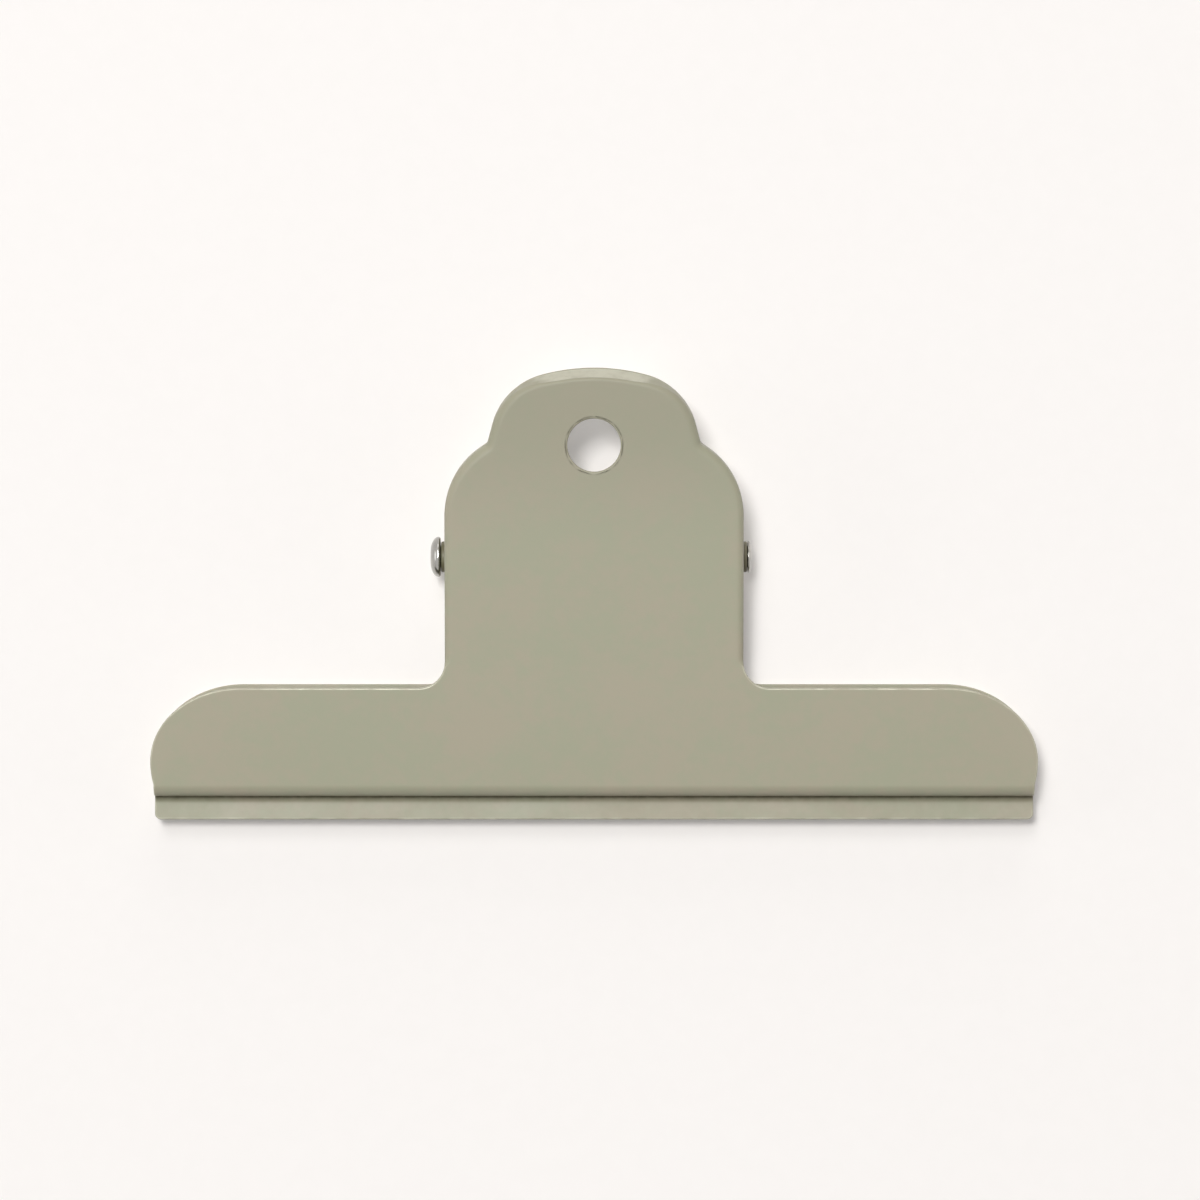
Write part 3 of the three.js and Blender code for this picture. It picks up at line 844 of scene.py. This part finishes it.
def coated_plate_paint():
    """Satin khaki coat: painted shade to the head and in hollows, brighter scuffed edges, painted crown
    sheen.
    """
    material, tree, shader = new_material("plate_coat")
    place = own_place(tree)
    drift = place_group(tree, tone_drift, Place=place, Cool=(0.368, 0.370, 0.266, 1),
                        Warm=(0.400, 0.366, 0.274, 1), Scale=70.0)
    along = node(tree, "ShaderNodeSeparateXYZ")
    tree.links.new(place, along.inputs["Vector"])
    # Painted shade: the coat's colour darkens up the handle towards the head
    head_shade = range_node(tree, along.outputs["Y"], HEAD_SHADE_FROM, HEAD_SHADE_TO, 0.0, HEAD_SHADE_SHARE)
    tone = mix_colours(tree, head_shade, drift.outputs["Color"], (0.312, 0.300, 0.220, 1))
    # The edge marks carry real scuffing of the cut edges and the painted sheen on the crown's wall
    wear_and_sheen = place_group(tree, edge_wear_and_sheen, Edge=mark(tree, "wear_and_sheen", "Fac"), Place=place, Scale=350.0)
    scuffs_sheen_and_shade = mix_colours(tree, wear_and_sheen.outputs["Mask"], tone, (0.53, 0.52, 0.415, 1))
    # Painted shade laid into the colour: dark in the groove, on the plates' inner sides and on the bosses
    hollow_shade = place_group(tree, shade_in_hollows, Recess=mark(tree, "recess", "Fac"), Place=place, Scale=600.0)
    scuffs_sheen_and_shade = mix_colours(tree, hollow_shade.outputs["Mask"], scuffs_sheen_and_shade, (0.100, 0.090, 0.046, 1))
    tree.links.new(scuffs_sheen_and_shade, shader.inputs["Base Color"])
    patches = noise_node(tree, place, 55.0, 3.0, 0.55)
    shader.inputs["Specular IOR Level"].default_value = 0.32
    rough = math_node(tree, "SUBTRACT", range_node(tree, patches, 0.3, 0.7, 0.43, 0.51),
                      math_node(tree, "MULTIPLY", wear_and_sheen.outputs["Mask"], 0.12))
    tree.links.new(rough, shader.inputs["Roughness"])
    tree.links.new(math_node(tree, "MULTIPLY", wear_and_sheen.outputs["Mask"], 0.25), shader.inputs["Metallic"])
    peel = place_group(tree, orange_peel, Place=place, Wave_Scale=850.0, Grit_Scale=2400.0)
    bump_into(tree, shader, peel.outputs["Height"], 0.25, 0.00006)
    return material


def rod_nickel():
    """Bright nickel on the turned rod: fine turning lines and a faint yellow haze."""
    material, tree, shader = new_material("rod_nickel")
    place = own_place(tree)
    drift = place_group(tree, tone_drift, Place=place, Cool=(0.37, 0.37, 0.355, 1),
                        Warm=(0.425, 0.415, 0.385, 1), Scale=500.0)
    tree.links.new(drift.outputs["Color"], shader.inputs["Base Color"])
    shader.inputs["Metallic"].default_value = 1.0
    lines = place_group(tree, metal_run, Run=mark(tree, "run", "Vector"), Stretch=(14.0, 1.5, 1.5),
                        Scale=1.0)
    rough = math_node(tree, "ADD", math_node(tree, "MULTIPLY", lines.outputs["Mask"], 0.08), 0.17)
    tree.links.new(rough, shader.inputs["Roughness"])
    bump_into(tree, shader, lines.outputs["Height"], 0.12, 0.00003)
    return material


def spring_steel():
    """Drawn steel wire: dull grey with long dark lines along the wire, brighter on the cut ends."""
    material, tree, shader = new_material("spring_wire")
    place = own_place(tree)
    lines = place_group(tree, metal_run, Run=mark(tree, "run", "Vector"), Stretch=(0.12, 6.0, 6.0),
                        Scale=1.0)
    drawn = mix_colours(tree, lines.outputs["Mask"], (0.33, 0.33, 0.325, 1), (0.47, 0.465, 0.45, 1))
    wear_and_sheen = place_group(tree, edge_wear_and_sheen, Edge=mark(tree, "wear_and_sheen", "Fac"), Place=place, Scale=900.0)
    bright = mix_colours(tree, wear_and_sheen.outputs["Mask"], drawn, (0.62, 0.61, 0.58, 1))
    tree.links.new(bright, shader.inputs["Base Color"])
    shader.inputs["Metallic"].default_value = 1.0
    rough = math_node(tree, "SUBTRACT", 0.42, math_node(tree, "MULTIPLY", lines.outputs["Mask"], 0.14))
    tree.links.new(rough, shader.inputs["Roughness"])
    bump_into(tree, shader, lines.outputs["Height"], 0.2, 0.00004)
    return material


plate_coat = coated_plate_paint()
nickel = rod_nickel()
wire_steel = spring_steel()

# The clip's pieces, each in the place of its node

hinge_at = Vector(frame["joints"][0]["pos_m"]) / MM
lift = Matrix.Translation((0, hinge_at.y - hinge.height, 0))
swing = (Matrix.Translation(hinge_at) @ Matrix.Rotation(math.radians(OPENING), 4, "X")
         @ Matrix.Translation((0, -hinge.height, hinge.depth)))

rear = make_piece("back_plate", plate_skin(neck.width - 2 * (SHEET + GAP), hanging.rear_diameter, 0.0),
                  lift @ Matrix.Rotation(math.pi, 4, "Y"), plate_coat)
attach(rear, "rear")
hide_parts("rear_plate")

front = make_piece("front_plate_with_bosses",
                   plate_skin(neck.width, hanging.front_diameter, hinge.boss_height),
                   swing, plate_coat)
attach(front, "front")
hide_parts("front_plate")

rod = make_piece("headed_rod", lathe_skin(rod_profile()), Matrix.Translation(hinge_at), nickel)
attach(rod, "rear")
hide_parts("hinge_rod")

wire_points, coil_length = spring_wire()
half_turn = Matrix.Rotation(math.radians(OPENING), 4, "X") @ Matrix.Rotation(math.pi, 4, "Y")
for side, name in ((1, "spring_right"), (-1, "spring_left")):
    turned = Matrix.Rotation(math.radians(OPENING / 2), 4, "X")
    if side < 0:
        turned = half_turn @ turned
    offset = side * (neck.width / 2 - 2 * SHEET - GAP) / 2
    placed = Matrix.Translation(hinge_at + Vector((offset, 0, 0))) @ turned
    coil = make_piece(name.replace("spring", "wire_spring"), wire_skin(wire_points, spring.wire / 2),
                      placed, wire_steel)
    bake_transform(coil)
    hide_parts(name)

# Table, light and camera. The glow is the share of the table's own colour that is seen unshaded,
# and the drop keeps the table just below the clip.

TABLE_GLOW = 0.31
TABLE_DROP = 0.00002


def seen_rays(tree):
    """1 for the rays that show the surroundings: straight to the camera, mirrored or let through."""
    rays = node(tree, "ShaderNodeLightPath")
    seen = math_node(tree, "ADD", rays.outputs["Is Camera Ray"], rays.outputs["Is Glossy Ray"])
    return math_node(tree, "ADD", seen, rays.outputs["Is Transmission Ray"], clamp=True)


def table_top():
    """A pale table that turns up softly far behind the clip, to fill the picture."""
    reach, curve = 1.6, 0.5
    profile = [(-reach, 0.0), (reach - curve, 0.0)]
    profile += [(reach - curve + curve * sine(a), curve * (1 - cosine(a)))
                for a in steps(0.0, 80.0, 12)[1:]]
    points, faces = [], []
    for x in (-reach, reach):
        points += [(x, y, z - TABLE_DROP) for y, z in profile]
    count = len(profile)
    for i in range(count - 1):
        faces.append((i, i + count, i + count + 1, i + 1))
    mesh = bpy.data.meshes.new("table_top")
    mesh.from_pydata(points, [], faces)
    mesh.shade_smooth()
    piece = bpy.data.objects.new("table_top", mesh)
    bpy.context.scene.collection.objects.link(piece)
    material, tree, shader = new_material("pale_table")
    grain = noise_node(tree, own_place(tree), 300.0, 3.0, 0.5)
    paper = mix_colours(tree, range_node(tree, grain, 0.3, 0.7), (0.974, 0.940, 0.914, 1),
                        (0.984, 0.950, 0.924, 1))
    tree.links.new(paper, shader.inputs["Base Color"])
    shader.inputs["Roughness"].default_value = 0.9
    shader.inputs["Specular IOR Level"].default_value = 0.0
    lit = node(tree, "ShaderNodeEmission")
    tree.links.new(paper, lit.inputs["Color"])
    mixed = node(tree, "ShaderNodeMixShader")
    tree.links.new(math_node(tree, "MULTIPLY", seen_rays(tree), TABLE_GLOW), mixed.inputs[0])
    tree.links.new(shader.outputs["BSDF"], mixed.inputs[1])
    tree.links.new(lit.outputs["Emission"], mixed.inputs[2])
    tree.links.new(mixed.outputs["Shader"], tree.nodes["Material Output"].inputs["Surface"])
    mesh.materials.append(material)


def area_lamp(name, place, size, power):
    """A square lamp that points at the origin."""
    light = bpy.data.lights.new(name, "AREA")
    light.size = size
    light.energy = power
    lamp = bpy.data.objects.new(name, light)
    lamp.location = place
    lamp.rotation_euler = (-Vector(place)).to_track_quat("-Z", "Y").to_euler()
    bpy.context.scene.collection.objects.link(lamp)


table_top()

world = bpy.data.worlds.new("soft_room")
world.use_nodes = True
room = world.node_tree
fill = room.nodes["Background"]
fill.inputs["Color"].default_value = (1.0, 0.985, 0.965, 1)
fill.inputs["Strength"].default_value = 0.03
wall = node(room, "ShaderNodeBackground")
wall.inputs["Color"].default_value = (0.973, 0.939, 0.913, 1)
both = node(room, "ShaderNodeMixShader")
room.links.new(seen_rays(room), both.inputs[0])
room.links.new(fill.outputs["Background"], both.inputs[1])
room.links.new(wall.outputs["Background"], both.inputs[2])
room.links.new(both.outputs["Shader"], room.nodes["World Output"].inputs["Surface"])
bpy.context.scene.world = world

area_lamp("overhead_light", (-0.3, 0.33, 2.4), 0.46, 41.6)
area_lamp("soft_light", (-0.7, 1.9, 3.8), 1.2, 37.0)
area_lamp("left_light", (-1.95, 0.1, 0.7), 1.2, 5.0)
area_lamp("far_light", (0.3, 3.93, 1.24), 2.4, 34.0)
area_lamp("right_light", (1.95, 0.2, 0.7), 1.2, 3.0)

# FIELD is the width of the view at the height FIELD_LEVEL, and the camera aims at AIM, leaning a little

FIELD = 0.2029
FIELD_LEVEL = 0.01
CAMERA_HEIGHT = 1.1
LEAN = 2.2
AIM = Vector((0.0010, -0.0015, 0.012))
camera_data = bpy.data.cameras.new("copy_stand")
camera_data.sensor_width = 36.0
camera_data.angle = 2 * math.atan(FIELD / 2 / (CAMERA_HEIGHT - FIELD_LEVEL))
camera_data.clip_end = 20.0
camera = bpy.data.objects.new("copy_stand", camera_data)
camera.location = (AIM.x, AIM.y - (CAMERA_HEIGHT - AIM.z) * math.tan(math.radians(LEAN)), CAMERA_HEIGHT)
camera.rotation_euler = (math.radians(LEAN), 0, 0)
bpy.context.scene.collection.objects.link(camera)
bpy.context.scene.camera = camera

bpy.context.scene.view_settings.view_transform = "Standard"
